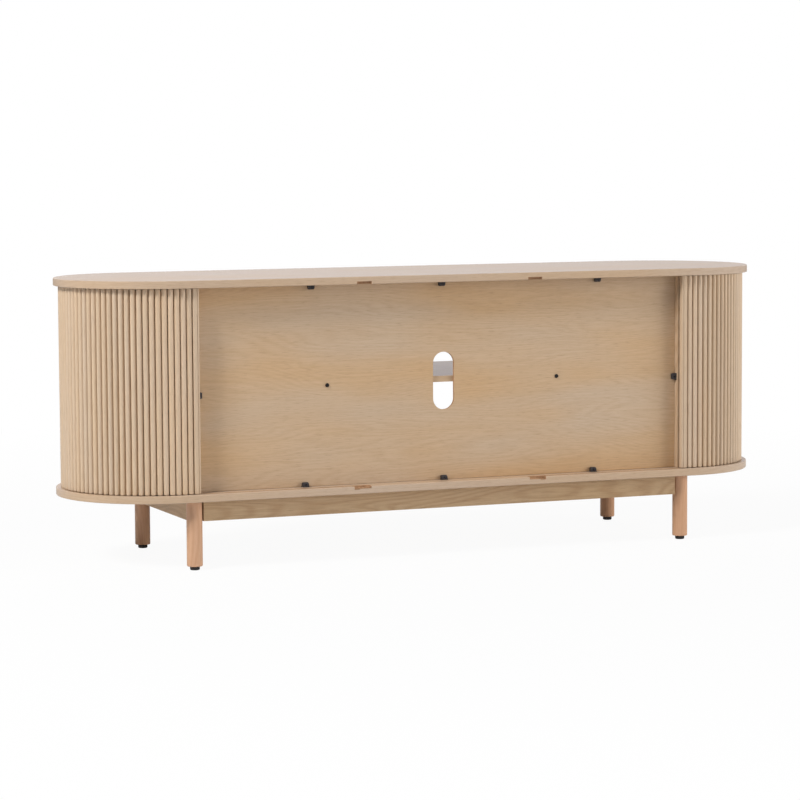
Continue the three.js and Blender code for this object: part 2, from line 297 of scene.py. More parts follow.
def mixColour(tree, factor, first, second, place):
    made = node(tree, "ShaderNodeMix", place, data_type="RGBA")
    for socket, value in ((made.inputs[0], factor), (made.inputs[6], first), (made.inputs[7], second)):
        if isinstance(value, bpy.types.NodeSocket):
            tree.links.new(value, socket)
        else:
            socket.default_value = value
    return made.outputs[2]


def scaled(tree, value, factor, place, offset=0.0):
    made = node(tree, "ShaderNodeMath", place, operation="MULTIPLY_ADD")
    tree.links.new(value, made.inputs[0])
    made.inputs[1].default_value = factor
    made.inputs[2].default_value = offset
    return made.outputs[0]


# Fine relief on the surface, by its strength and its depth in metres
def addRelief(tree, shader, height, relief, place):
    bump = node(tree, "ShaderNodeBump", place)
    bump.inputs["Strength"].default_value, bump.inputs["Distance"].default_value = relief
    tree.links.new(height, bump.inputs["Height"])
    tree.links.new(bump.outputs[0], shader.inputs["Normal"])


woodLook = {
    "light": (206, 183, 158),
    "mid": (196, 170, 142),
    "dark": (176, 146, 116),
    "pore": (150, 118, 88),
    "patchWarm": (203, 172, 134),
    "patchCool": (198, 182, 166),
    "patch": 0.35,
    "figure": 0.35,
    "pores": 0.5,
    "roughness": 0.46,
    "roughnessSpread": 0.16,
    "specular": 0.5,
    "coat": 0.0,
    "coatRoughness": 0.3,
    "streakRelief": 0.6,
    "relief": (0.25, 0.00025),
    "finest": 1.0,
    "varied": 0.0,
}
# How often each layer of the grain repeats in a metre: along the grain, then across it
grainRepeats = {
    "wander": (1.3, 9.0, 9.0),
    "figure": (1.0, 30.0, 30.0),
    "streak": (9.0, 420.0, 420.0),
    "pore": (46.0, 1500.0, 1500.0),
    "patch": (2.2, 7.5, 7.5),
}
figureBands = {"Scale": 1.6, "Distortion": 3.2, "Detail": 3.0, "Detail Scale": 1.1}
figureWander = 7.0  # how far the figure drifts sideways


# Oak-look or plain timber: soft patches, a drifting cathedral figure, fine streaks and short pores
def makeWood(name, source, **changes):
    look = {**woodLook, **changes}
    material, tree, shader = newMaterial(name)
    links = tree.links
    place = grainPlace(tree, source)

    def layer(kind, height, detail, rough=0.5, finest=1.0):
        repeats = [count * finest for count in grainRepeats[kind]]
        vector = stretched(tree, place, repeats, (-1200, height))
        return noise(tree, vector, (-1000, height), detail=detail, rough=rough)

    wander = layer("wander", 500, 2.0)
    figureBase = node(tree, "ShaderNodeVectorMath", (-1000, 300), operation="ADD")
    links.new(stretched(tree, place, grainRepeats["figure"], (-1200, 300)), figureBase.inputs[0])
    bent = node(tree, "ShaderNodeCombineXYZ", (-1150, 400))
    links.new(scaled(tree, wander, figureWander, (-1000, 400)), bent.inputs[1])
    links.new(bent.outputs[0], figureBase.inputs[1])
    rings = bands(tree, figureBase.outputs[0], "Y", (-800, 300), figureBands)
    figure = ramp(tree, rings, greys((0.15, 0.0), (0.62, 0.45), (0.95, 1.0)), (-600, 300))
    streaks = layer("streak", 0, 4.0, 0.62, look["finest"])
    streakTone = ramp(tree, streaks, greys((0.3, 0.0), (0.7, 1.0)), (-600, 0))
    pores = layer("pore", -250, 2.0, 0.5, look["finest"])
    poreTone = ramp(tree, pores, greys((0.57, 0.0), (0.70, 1.0)), (-600, -250))
    patches = layer("patch", -500, 2.0)
    patchTone = ramp(tree, patches, greys((0.35, 0.0), (0.65, 1.0)), (-600, -500))

    base = mixColour(tree, streakTone, linear(look["light"]), linear(look["mid"]), (-300, 200))
    patch = mixColour(tree, patchTone, linear(look["patchWarm"]), linear(look["patchCool"]), (-300, -100))
    base = mixColour(tree, look["patch"], base, patch, (-100, 200))
    figureShare = scaled(tree, figure, look["figure"], (-300, 400))
    base = mixColour(tree, figureShare, base, linear(look["dark"]), (100, 200))
    poreShare = scaled(tree, poreTone, look["pores"], (-300, -300))
    base = mixColour(tree, poreShare, base, linear(look["pore"]), (250, 200))
    if look["varied"]:
        # each slat is a little lighter or darker than the next
        tone = node(tree, "ShaderNodeAttribute", (-300, 600), attribute_name="tone")
        value = scaled(tree, tone.outputs["Fac"], look["varied"], (-100, 600), 1 - look["varied"] / 2)
        brightness = node(tree, "ShaderNodeHueSaturation", (420, 300))
        links.new(value, brightness.inputs["Value"])
        links.new(base, brightness.inputs["Color"])
        base = brightness.outputs[0]
    links.new(base, shader.inputs["Base Color"])

    spread = look["roughnessSpread"]
    roughness = scaled(tree, streaks, spread, (250, -100), look["roughness"] - spread / 2)
    links.new(roughness, shader.inputs["Roughness"])
    shader.inputs["Specular IOR Level"].default_value = look["specular"]
    shader.inputs["Coat Weight"].default_value = look["coat"]
    shader.inputs["Coat Roughness"].default_value = look["coatRoughness"]
    relief = node(tree, "ShaderNodeMath", (100, -300), operation="SUBTRACT")
    links.new(scaled(tree, streaks, look["streakRelief"], (-100, -300)), relief.inputs[0])
    links.new(poreTone, relief.inputs[1])
    addRelief(tree, shader, relief.outputs[0], look["relief"], (350, -300))
    return material


coreLook = {
    "gap": (150, 112, 82),
    "chip": (198, 158, 122),
    "repeats": (260, 260, 700),
    "roughness": 0.9,
    "relief": (0.6, 0.0004),
}


# Pressed fibre core showing where a board is cut
def makeCore(name):
    material, tree, shader = newMaterial(name)
    vector = stretched(tree, objectPlace(tree), coreLook["repeats"], (-700, 0))
    chips = noise(tree, vector, (-500, 0), detail=5.0, rough=0.7)
    stops = [(0.3, linear(coreLook["gap"])), (0.7, linear(coreLook["chip"]))]
    tree.links.new(ramp(tree, chips, stops, (-200, 0)), shader.inputs["Base Color"])
    shader.inputs["Roughness"].default_value = coreLook["roughness"]
    addRelief(tree, shader, chips, coreLook["relief"], (200, -300))
    return material


plasticLook = {"grit": 2600.0, "cloud": 60.0, "lighter": 9, "roughnessSpread": 0.2, "relief": (0.25, 0.0002)}


# Moulded black plastic with a fine spark-eroded texture
def makePlastic(name, colour, roughness):
    material, tree, shader = newMaterial(name)
    place = objectPlace(tree)
    grit = noise(tree, place, (-500, 0), scale=plasticLook["grit"], detail=3.0)
    cloud = noise(tree, place, (-500, -250), scale=plasticLook["cloud"], detail=2.0)
    lighter = [c + plasticLook["lighter"] for c in colour]
    spread = plasticLook["roughnessSpread"]
    stops = [(0.35, linear(colour)), (0.65, linear(lighter))]
    tree.links.new(ramp(tree, cloud, stops, (-200, 0)), shader.inputs["Base Color"])
    tree.links.new(scaled(tree, grit, spread, (0, -200), roughness - spread / 2), shader.inputs["Roughness"])
    addRelief(tree, shader, grit, plasticLook["relief"], (200, -400))
    return material


steelLook = {
    "dark": (30, 30, 32),
    "light": (52, 51, 52),
    "mottle": 900.0,
    "metallic": 0.7,
    "roughness": 0.25,
    "roughnessSpread": 0.3,
}


# Black oxide steel
def makeSteel(name):
    material, tree, shader = newMaterial(name)
    mottle = noise(tree, objectPlace(tree), (-500, 0), scale=steelLook["mottle"], detail=4.0)
    stops = [(0.3, linear(steelLook["dark"])), (0.7, linear(steelLook["light"]))]
    tree.links.new(ramp(tree, mottle, stops, (-200, 0)), shader.inputs["Base Color"])
    shader.inputs["Metallic"].default_value = steelLook["metallic"]
    roughness = scaled(tree, mottle, steelLook["roughnessSpread"], (0, -200), steelLook["roughness"])
    tree.links.new(roughness, shader.inputs["Roughness"])
    return material


clothLook = {
    "dark": (182, 142, 104),
    "light": (202, 164, 126),
    "gap": (152, 112, 78),
    "threads": {"Scale": 260.0, "Distortion": 0.6},
    "weaveShare": 0.5,
    "fuzz": 90.0,
    "roughness": 0.95,
    "specular": 0.2,
    "relief": (0.5, 0.0003),
}


# Woven backing cloth, its threads along and across the door's run
def makeCloth(name):
    material, tree, shader = newMaterial(name)
    place = grainPlace(tree, "laid")
    weave = node(tree, "ShaderNodeMath", (-450, -100), operation="MULTIPLY")
    for index, (direction, height) in enumerate((("X", 0), ("Y", -300))):
        threads = bands(tree, place, direction, (-700, height), clothLook["threads"])
        tree.links.new(threads, weave.inputs[index])
    fuzz = noise(tree, place, (-700, -600), scale=clothLook["fuzz"], detail=4.0)
    stops = [(0.3, linear(clothLook["dark"])), (0.7, linear(clothLook["light"]))]
    colour = ramp(tree, fuzz, stops, (-200, 0))
    weaveShare = scaled(tree, weave.outputs[0], clothLook["weaveShare"], (-200, -250))
    colour = mixColour(tree, weaveShare, linear(clothLook["gap"]), colour, (50, 0))
    tree.links.new(colour, shader.inputs["Base Color"])
    shader.inputs["Roughness"].default_value = clothLook["roughness"]
    shader.inputs["Specular IOR Level"].default_value = clothLook["specular"]
    addRelief(tree, shader, weave.outputs[0], clothLook["relief"], (300, -300))
    return material


boardFace = makeWood("boardFace", "laid", light=(198, 172, 145), mid=(189, 160, 131), dark=(169, 137, 106),
                     figure=0.12, coat=0.5, coatRoughness=0.25)
panelFace = makeWood("panelFace", "laid", light=(206, 178, 147), mid=(190, 159, 124), dark=(166, 130, 92),
                     patchWarm=(203, 165, 119), patchCool=(199, 180, 158), patch=0.55, figure=0.13)
carcassFaces = {axis: makeWood(f"carcassFace{axis}", axis, light=(202, 172, 138), mid=(193, 161, 125),
                               dark=(172, 137, 100), coat=0.6, coatRoughness=0.25) for axis in "XYZ"}
railFaces = {axis: makeWood(f"railFace{axis}", axis, light=(198, 166, 124), mid=(181, 146, 102),
                            dark=(152, 114, 74), patch=0.2, figure=0.32) for axis in "XY"}
slatFace = makeWood("slatFace", "laid", light=(216, 192, 164), mid=(208, 182, 152), dark=(190, 160, 128),
                    patch=0.25, figure=0.15, pores=0.35, varied=0.07, finest=1.3)
legFace = makeWood("legFace", "Z", light=(212, 169, 135), mid=(204, 157, 122), dark=(188, 139, 103),
                   pore=(168, 118, 84), patchWarm=(210, 161, 122), patchCool=(206, 168, 138), figure=0.3,
                   pores=0.35, roughness=0.42)
coreFace = makeCore("coreFace")
blackPlastic = makePlastic("blackPlastic", (26, 24, 24), 0.5)
bracketPlastic = makePlastic("bracketPlastic", (40, 36, 38), 0.45)
blackSteel = makeSteel("blackSteel")
backingCloth = makeCloth("backingCloth")

doorShape = {
    "slats": 72,
    "leadStile": 0.022,
    "tailStile": 0.014,
    "stileDepth": 0.011,
    "slatDepth": 0.0065,
    "slatGap": 0.0010,
    "slatRoundness": 0.82,
    "clothDepth": 0.0008,
    "clothRelief": 0.0005,
    "clothMargin": 0.004,
    "clothGap": 0.00002,
    "frontGroups": 6,
    "rearGroups": 6,
    "profileSteps": 14,
    "endChamfer": 0.0006,
    "endShrink": 0.86,
    "tongueDepth": 0.004,
    "tongueWidth": 0.32,
    "tongueOverlap": 0.0003,
}
stileShape = {
    "ease": 0.0022,
    "easeSteps": 4,
    "coveMiddle": 0.0075,
    "coveHalfWidth": 0.0035,
    "coveDepth": 0.0024,
    "coveSteps": 8,
    "groove": ((0.0046, 0.0), (0.0042, 0.0012), (0.0036, 0.0012), (0.0032, 0.0)),
}
grainSpread = 40  # metres of timber that the bars' grain is drawn from
grainDepth = 0.7
plainTone = 0.5  # the tone of cloth and tongues, midway between the slats' own

# The door's run is measured along the cloth, from the start of the end curve
slatTip = -plainGroupLow.y
slatBack = slatTip - doorShape["slatDepth"]
slatMiddle = (slatTip + slatBack) / 2
clothRadius = slatBack - doorShape["clothDepth"] / 2
curveLength = math.pi * clothRadius
leadStart = leadGroupLow.x - doorShape["clothRelief"] - endCentre
tailEnd = curveLength + endCentre - (tailGroupLow.x - doorShape["clothRelief"])
slatRun = tailEnd - leadStart - doorShape["leadStile"] - doorShape["tailStile"]
slatPitch = slatRun / doorShape["slats"]
doorLow, doorHigh = plainGroupLow.z, plainGroupHigh.z


# The place in plan of a point on the run, at a distance from the end's centre line
def onRun(run, radius):
    if run < 0:
        return Vector((endCentre + run, -radius))
    if run > curveLength:
        return Vector((endCentre - (run - curveLength), radius))
    angle = run / clothRadius
    return Vector((endCentre + radius * math.sin(angle), -radius * math.cos(angle)))


# Whole numbers that share a total as evenly as they can
def sharedOut(total, parts):
    small, spare = divmod(total, parts)
    return [small + (1 if index < spare else 0) for index in range(parts)]


# The groups of slats that move as one: those ahead of the end curve, on it, and behind it
def doorGroups():
    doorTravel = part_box("end_partition_right")[0].x - (leadGroupLow.x - doorShape["clothRelief"])
    frontSlats = math.ceil((-leadStart - doorShape["leadStile"]) / slatPitch)
    curveStart = leadStart + doorShape["leadStile"] + frontSlats * slatPitch
    curveSlats = math.floor((curveLength - doorTravel - curveStart) / slatPitch)
    rearSlats = doorShape["slats"] - frontSlats - curveSlats
    groups = []
    run = leadStart
    for index, count in enumerate(sharedOut(frontSlats, doorShape["frontGroups"])):
        lead = doorShape["leadStile"] if index == 0 else 0
        groups.append({"name": f"front_{index + 1}", "start": run, "lead": lead, "count": count, "tail": 0})
        run += lead + count * slatPitch
    groups.append({"name": "middle", "start": run, "lead": 0, "count": curveSlats, "tail": 0})
    run += curveSlats * slatPitch
    for index, count in enumerate(sharedOut(rearSlats, doorShape["rearGroups"])):
        tail = doorShape["tailStile"] if index == doorShape["rearGroups"] - 1 else 0
        groups.append({"name": f"rear_{index + 1}", "start": run, "lead": 0, "count": count, "tail": tail})
        run += count * slatPitch + tail
    return groups


# Half-round slat section as [offset along the run, rise above the cloth]
def slatSection():
    half = (slatPitch - doorShape["slatGap"]) / 2
    steps = doorShape["profileSteps"]
    points = []
    for step in range(steps + 1):
        angle = math.pi * step / steps
        rise = doorShape["slatDepth"] * math.sin(angle) ** doorShape["slatRoundness"]
        points.append((-half * math.cos(angle), rise))
    return points


# A stile's section: a square bar with two eased corners; the leading one has a finger cove
# and the trailing one a fine groove beside its free edge
def stileSection(width, cove):
    half = width / 2
    ease = stileShape["ease"]
    easeSteps = stileShape["easeSteps"]
    back = doorShape["slatDepth"] - doorShape["stileDepth"]
    top = doorShape["slatDepth"]
    points = [(-half, back), (-half, top - ease)]
    for step in range(1, easeSteps + 1):
        angle = math.pi / 2 * step / easeSteps
        points.append((-half + ease * (1 - math.cos(angle)), top - ease * (1 - math.sin(angle))))
    if cove:
        for step in range(stileShape["coveSteps"] + 1):
            angle = math.pi * step / stileShape["coveSteps"]
            along = -half + stileShape["coveMiddle"] - stileShape["coveHalfWidth"] * math.cos(angle)
            points.append((along, top - stileShape["coveDepth"] * math.sin(angle)))
    else:
        for aside, depth in stileShape["groove"]:
            points.append((half - aside, top - depth))
    for step in range(easeSteps):
        angle = math.pi / 2 * step / easeSteps
        points.append((half - ease * (1 - math.sin(angle)), top - ease * (1 - math.cos(angle))))
    points += [(half, top - ease), (half, back)]
    return points


# Stands one bar on the run: its section, eased at both ends
def addBar(mesh, middle, section, side, layers, tone):
    grainLayer, toneLayer = layers
    chamfer = doorShape["endChamfer"]
    small = doorShape["endShrink"]
    centreAlong = sum(point[0] for point in section) / len(section)
    centreRise = sum(point[1] for point in section) / len(section)
    # the bar is straight: it is set square to the run at its middle
    foot = onRun(middle, clothRadius)
    outward = (onRun(middle, clothRadius + 1) - foot).normalized()
    forward = Vector((-outward.y, outward.x))
    shift = random.uniform(0, grainSpread)
    rings = []
    places = []
    ends = ((doorLow, small), (doorLow + chamfer, 1.0), (doorHigh - chamfer, 1.0), (doorHigh, small))
    for height, shrink in ends:
        ring = []
        across = 0.0
        previous = section[0]
        for along, rise in section:
            alongNow = centreAlong + (along - centreAlong) * shrink
            riseNow = centreRise + (rise - centreRise) * shrink
            across += math.dist(previous, (along, rise))
            previous = (along, rise)
            spot = foot + outward * (riseNow + doorShape["clothDepth"] / 2) + forward * alongNow
            ring.append((side * spot.x, spot.y, height))
            places.append((height, across + shift, shift * grainDepth))
        rings.append(ring)
    firstVertex = len(mesh.verts)
    faces = skinRings(mesh, rings)
    mesh.verts.index_update()
    for face in faces:
        for corner in face.loops:
            corner[grainLayer] = Vector(places[corner.vert.index - firstVertex])
            corner[toneLayer] = tone


# The cloth strip behind one group
def addCloth(mesh, group, side, layers):
    grainLayer, toneLayer = layers
    relief = doorShape["clothRelief"]
    first = group["start"] + (doorShape["leadStile"] - doorShape["slatGap"] if group["lead"] else relief)
    last = group["start"] + group["lead"] + group["count"] * slatPitch
    last += doorShape["slatGap"] if group["tail"] else -relief
    steps = max(2, group["count"] * 2)
    runs = [first + (last - first) * step / steps for step in range(steps + 1)]
    outline = [onRun(run, slatBack - doorShape["clothGap"]) for run in runs]
    outline += [onRun(run, slatBack - doorShape["clothDepth"]) for run in reversed(runs)]
    alongs = runs + list(reversed(runs))
    heights = (doorLow + doorShape["clothMargin"], doorHigh - doorShape["clothMargin"])
    rings = [[(side * spot.x, spot.y, height) for spot in outline] for height in heights]
    firstVertex = len(mesh.verts)
    faces = skinRings(mesh, rings)
    mesh.verts.index_update()
    for face in faces:
        face.material_index = 1
        for corner in face.loops:
            index = (corner.vert.index - firstVertex) % len(outline)
            corner[grainLayer] = Vector((alongs[index], corner.vert.co.z, 0))
            corner[toneLayer] = plainTone


# Tongues above and below the middle group's slats, which run in the boards' grooves
def addTongues(mesh, group, side, layers):
    grainLayer, toneLayer = layers
    half = doorShape["tongueDepth"] / 2
    width = slatPitch * doorShape["tongueWidth"]
    overlap = doorShape["tongueOverlap"]
    for index in range(1, group["count"] - 1):
        middle = group["start"] + (index + 0.5) * slatPitch
        corners = [onRun(middle + along, slatMiddle + rise)
                   for along, rise in ((-width, -half), (width, -half), (width, half), (-width, half))]
        for low, high in ((middleLow.z, doorLow + overlap), (doorHigh - overlap, middleHigh.z)):
            rings = [[(side * spot.x, spot.y, height) for spot in corners] for height in (low, high)]
            for face in skinRings(mesh, rings):
                for corner in face.loops:
                    corner[grainLayer] = Vector((corner.vert.co.z, corner.vert.co.x, corner.vert.co.y))
                    corner[toneLayer] = plainTone


def buildGroup(sideName, side, group):
    mesh = bmesh.new()
    layers = (mesh.loops.layers.float_vector.new("grainPlace"), mesh.loops.layers.float.new("tone"))
    run = group["start"]
    relief = doorShape["clothRelief"]
    gap = doorShape["slatGap"]
    if group["lead"]:
        width = group["lead"] - relief - gap
        addBar(mesh, run + relief + width / 2, stileSection(width, True), side, layers, random.random())
        run += group["lead"]
    for index in range(group["count"]):
        addBar(mesh, run + slatPitch / 2, slatSection(), side, layers, random.random())
        run += slatPitch
    if group["tail"]:
        width = group["tail"] - relief - gap
        addBar(mesh, run + gap + width / 2, stileSection(width, False), side, layers, random.random())
    addCloth(mesh, group, side, layers)
    if group["name"] == "middle":
        addTongues(mesh, group, side, layers)
    bmesh.ops.recalc_face_normals(mesh, faces=mesh.faces)
    cadName = f"door_{sideName}_{group['name']}"
    materials = [slatFace, backingCloth]
    addPiece(f"slats_{sideName}_{group['name']}", mesh, cadName, materials, [cadName], 50)


print("stage: slatted doors")
for sideName, side in (("left", -1), ("right", 1)):
    for group in doorGroups():
        buildGroup(sideName, side, group)

print("stage: boards")
boardShape = {
    "edgeRadius": 0.0016,
    "edgeSteps": 4,
    "arcSteps": 72,
    "grooveWidth": 0.006,
    "grooveDepth": 0.0036,
    "grooveRunOut": 0.012,
    "bandDepth": 0.003,
}
notchShape = {
    "top_board": {"inner": 0.168, "outer": 0.198, "depth": 0.0056, "step": 0.0, "stepDepth": 0.0056},
    "bottom_board": {"inner": 0.171, "outer": 0.206, "depth": 0.0048, "step": 0.010, "stepDepth": 0.0062},
    "slant": 0.006,
}
# Where each board's grain starts, and how the edge banding's differs from the face's
boardGrain = {"top_board": 0.0, "bottom_board": 5.3, "bandHeight": 3.1, "bandDepth": 0.4, "faceDepth": 0.2}
flatLimit = 0.75  # a face whose normal rises more than this is part of the flat face


# [inset, height] steps of a board's rounded edge, from the lower face to the upper one
def roundedEdge(low, high, radius, steps):
    profile = []
    for step in range(steps + 1):
        angle = math.pi / 2 * step / steps
        profile.append((radius * (1 - math.sin(angle)), low + radius * (1 - math.cos(angle))))
    for step in range(steps + 1):
        angle = math.pi / 2 * step / steps
        profile.append((radius * (1 - math.cos(angle)), high - radius * (1 - math.sin(angle))))
    return profile


def halfCircle(centre, radius, start):
    steps = boardShape["arcSteps"]
    angles = [start + math.pi * step / steps for step in range(steps + 1)]
    return [(centre + radius * math.cos(angle), radius * math.sin(angle)) for angle in angles]


# The board's outline: two straight sides between round ends
def stadiumPlan(radius):
    return halfCircle(endCentre, radius, -math.pi / 2) + halfCircle(-endCentre, radius, math.pi / 2)


# Distance round the board's edge, for the banding's grain
def edgeDistance(x, y):
    if x > endCentre:
        return endCentre + endRadius * (math.atan2(y, x - endCentre) + math.pi / 2)
    if x < -endCentre:
        angle = math.atan2(y, x + endCentre)
        angle = angle if angle > 0 else angle + 2 * math.pi
        return 3 * endCentre + math.pi * endRadius + endRadius * (angle - math.pi / 2)
    return x if y < 0 else 2 * endCentre + math.pi * endRadius - x


# Grain along the board's faces, and round its edge where the banding is
def layBoardGrain(piece, shift):
    data = piece.data
    values = []
    for polygon in data.polygons:
        centre = polygon.center
        reach = math.hypot(max(0, abs(centre.x) - endCentre), centre.y)
        onEdge = abs(polygon.normal.z) <= flatLimit and reach > endRadius - boardShape["bandDepth"]
        for corner in polygon.loop_indices:
            spot = data.vertices[data.loops[corner].vertex_index].co
            if onEdge:
                along = edgeDistance(spot.x, spot.y) + shift
                values += (along, spot.z + boardGrain["bandHeight"], boardGrain["bandDepth"])
            else:
                values += (spot.x + shift, spot.y, spot.z * boardGrain["faceDepth"])
    layGrain(piece, values)


# The groove that a door's tongues run in, from the divider round the end to the rear notch
def grooveOutline(side):
    outer = slatMiddle + boardShape["grooveWidth"] / 2
    inner = slatMiddle - boardShape["grooveWidth"] / 2
    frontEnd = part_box("divider_right")[1].x
    rearEnd = notchShape["top_board"]["inner"] + boardShape["grooveRunOut"]
    outline = [(frontEnd, -outer)] + halfCircle(endCentre, outer, -math.pi / 2)
    outline += [(rearEnd, outer), (rearEnd, inner)]
    outline += list(reversed(halfCircle(endCentre, inner, -math.pi / 2))) + [(frontEnd, -inner)]
    return [(side * x, y) for x, y in outline]


# The notch in a board's rear edge where a door is entered, as [outline, depth] cuts
def notchCuts(notch, side):
    rear = endRadius + 2 * cutMargin
    inside = slatMiddle - boardShape["grooveWidth"] / 2
    shoulder = notch["outer"] - notch["step"]
    stages = [(notch["inner"], shoulder, notch["depth"])]
    if notch["step"]:
        stages.append((shoulder - cutMargin, notch["outer"], notch["stepDepth"]))
    cuts = []
    for near, far, depth in stages:
        outline = [(near, rear), (far, rear), (far + notchShape["slant"], inside), (near, inside)]
        cuts.append(([(side * x, y) for x, y in outline], depth))
    return cuts


def buildBoard(name, low, high, openingUp):
    profile = roundedEdge(low.z, high.z, boardShape["edgeRadius"], boardShape["edgeSteps"])
    mesh = bmesh.new()
    rings = [[(x, y, height) for x, y in stadiumPlan(endRadius - inset)] for inset, height in profile]
    skinRings(mesh, rings)
    piece = addPiece(f"{name}_finished", mesh, bodyRoot, [boardFace, coreFace], [name])
    face = high.z if openingUp else low.z
    into = -1 if openingUp else 1
    over = face - into * 2 * cutMargin
    for side in (-1, 1):
        cuts = [(grooveOutline(side), boardShape["grooveDepth"])] + notchCuts(notchShape[name], side)
        for outline, depth in cuts:
            floor = face + into * depth
            cutAway(piece, raised(outline, min(over, floor), max(over, floor)))
    shadeByFace(piece, 40)
    layBoardGrain(piece, boardGrain[name])


buildBoard("top_board", boardLow, boardHigh, False)
buildBoard("bottom_board", baseLow, baseHigh, True)

print("stage: carcass")
carcassGrain = {
    "end_partition_left": "Z",
    "end_partition_right": "Z",
    "divider_left": "Z",
    "divider_right": "Z",
    "centre_shelf": "X",
    "side_shelf_left": "X",
    "side_shelf_right": "X",
}
railGrain = {"rail_front": "X", "rail_rear": "X", "rail_left": "Y", "rail_right": "Y"}
timberEase = {"carcass": 0.0007, "rail": 0.0012, "segments": 3}


# A CAD node that keeps its shape, with its edges eased
def dressNode(name, material, ease):
    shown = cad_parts[name]
    shown.data.materials.clear()
    shown.data.materials.append(material)
    easeEdges(shown, ease, timberEase["segments"])
    shadeByFace(shown, 40)


for name, axis in carcassGrain.items():
    dressNode(name, carcassFaces[axis], timberEase["carcass"])
for name, axis in railGrain.items():
    dressNode(name, railFaces[axis], timberEase["rail"])

panelShape = {
    "slotWidth": 0.045,
    "slotHeight": 0.115,
    "slotSteps": 32,
    "holeRadius": 0.0021,
    "ease": 0.0006,
    "easeSegments": 2,
    "grainStart": 9.2,
    "grainDepth": 0.3,
}


# The outline of the upright cable slot, with round ends
def slotOutline():
    radius = panelShape["slotWidth"] / 2
    straight = (panelShape["slotHeight"] - panelShape["slotWidth"]) / 2
    outline = []
    for lift, start in ((straight, 0), (-straight, math.pi)):
        for step in range(panelShape["slotSteps"] + 1):
            angle = start + math.pi * step / panelShape["slotSteps"]
            outline.append((radius * math.cos(angle), midHeight + lift + radius * math.sin(angle)))
    return outline


def buildPanel():
    piece = addPiece("back_panel_finished", boxMesh(panelLow, panelHigh), bodyRoot,
                     [panelFace, coreFace], ["back_panel"])
    through = (panelLow.y - cutMargin, panelHigh.y + cutMargin)
    cutAway(piece, drawnBack(slotOutline(), *through))
    for sideName in ("left", "right"):
        low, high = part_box(f"panel_screw_{sideName}")
        middle = (low + high) / 2
        cutAway(piece, holeMesh(middle.x, middle.z, panelShape["holeRadius"], *through))
    easeEdges(piece, panelShape["ease"], panelShape["easeSegments"])
    applyModifiers(piece)
    values = []
    for loop in piece.data.loops:
        spot = piece.data.vertices[loop.vertex_index].co
        values += (spot.x + panelShape["grainStart"], spot.z, spot.y * panelShape["grainDepth"])
    layGrain(piece, values)
    shadeByFace(piece, 35)


buildPanel()

print("stage: base")
legShape = {
    "segments": 64,
    "topEase": 0.0006,
    "bottomEase": 0.0022,
    "bore": 0.0033,
    "boreDepth": 0.0143,
    "spigot": 0.007,
    "gap": 0.0003,
}
# The glide's heights are measured down from the underside of its leg
footShape = {
    "segments": 48,
    "ease": 0.0022,
    "gap": 0.0003,
    "stem": 0.003,
    "waist": 0.0006,
    "rim": 0.0016,
    "waistStart": 0.0012,
    "waistEnd": 0.0003,
}
turnSteps = 5


# A rounded corner of a turned outline, at its lower or its upper end
def quarterTurn(radius, height, ease, low):
    points = []
    for step in range(turnSteps + 1):
        angle = math.pi / 2 * step / turnSteps
        turn = math.sin(angle), math.cos(angle)
        if low:
            points.append((radius - ease * (1 - turn[0]), height + ease * (1 - turn[1])))
        else:
            points.append((radius - ease * (1 - turn[1]), height - ease * (1 - turn[0])))
    return points


# A turned leg with a bore for the glide's stem and a spigot into the bottom board
def buildLeg(corner):
    low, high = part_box(f"leg_{corner}")
    radius = (high.x - low.x) / 2
    shoulder = baseLow.z - legShape["gap"]
    boreTop = low.z + legShape["boreDepth"]
    profile = [(axisRadius, boreTop), (legShape["bore"], boreTop), (legShape["bore"], low.z)]
    profile += quarterTurn(radius, low.z, legShape["bottomEase"], True)
    profile += quarterTurn(radius, shoulder, legShape["topEase"], False)
    profile += [(legShape["spigot"], shoulder), (legShape["spigot"], high.z), (axisRadius, high.z)]
    mesh = turnedPiece(profile, (low + high) / 2, legShape["segments"])
    addPiece(f"leg_{corner}_finished", mesh, bodyRoot, [legFace], [f"leg_{corner}"], 50)


# A glide: a pad with a fine waist under the leg, and its stem
def buildFoot(corner):
    low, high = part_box(f"foot_{corner}")
    radius = (high.x - low.x) / 2
    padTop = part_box(f"leg_{corner}")[0].z - footShape["gap"]
    waist = radius - footShape["waist"]
    profile = [(axisRadius, low.z)] + quarterTurn(radius, low.z, footShape["ease"], True)
    profile += [(radius, padTop - footShape["rim"]), (waist, padTop - footShape["waistStart"]),
                (waist, padTop - footShape["waistEnd"]), (footShape["stem"], padTop),
                (footShape["stem"], high.z), (axisRadius, high.z)]
    mesh = turnedPiece(profile, (low + high) / 2, footShape["segments"])
    addPiece(f"foot_{corner}_finished", mesh, bodyRoot, [blackPlastic], [f"foot_{corner}"])


for corner in ("front_left", "front_right", "rear_left", "rear_right"):
    buildLeg(corner)
    buildFoot(corner)

print("stage: fittings")
bracketShape = {
    "flange": 0.0016,
    "flangeStep": 0.0003,
    "inset": 0.0007,
    "valley": 0.0016,
    "valleyWidth": 0.0028,
    "slope": 0.0030,
    "recess": 0.0016,
    "recessDepth": 0.003,
    "ease": 0.00044,
    "easeAngle": 0.6,
    "easeLength": 0.0015,
}
# The bracket's top against its body: side inset, slope in depth and valley, as shares
bracketTop = {"inset": 2.4, "slope": 0.8, "valley": 0.6}


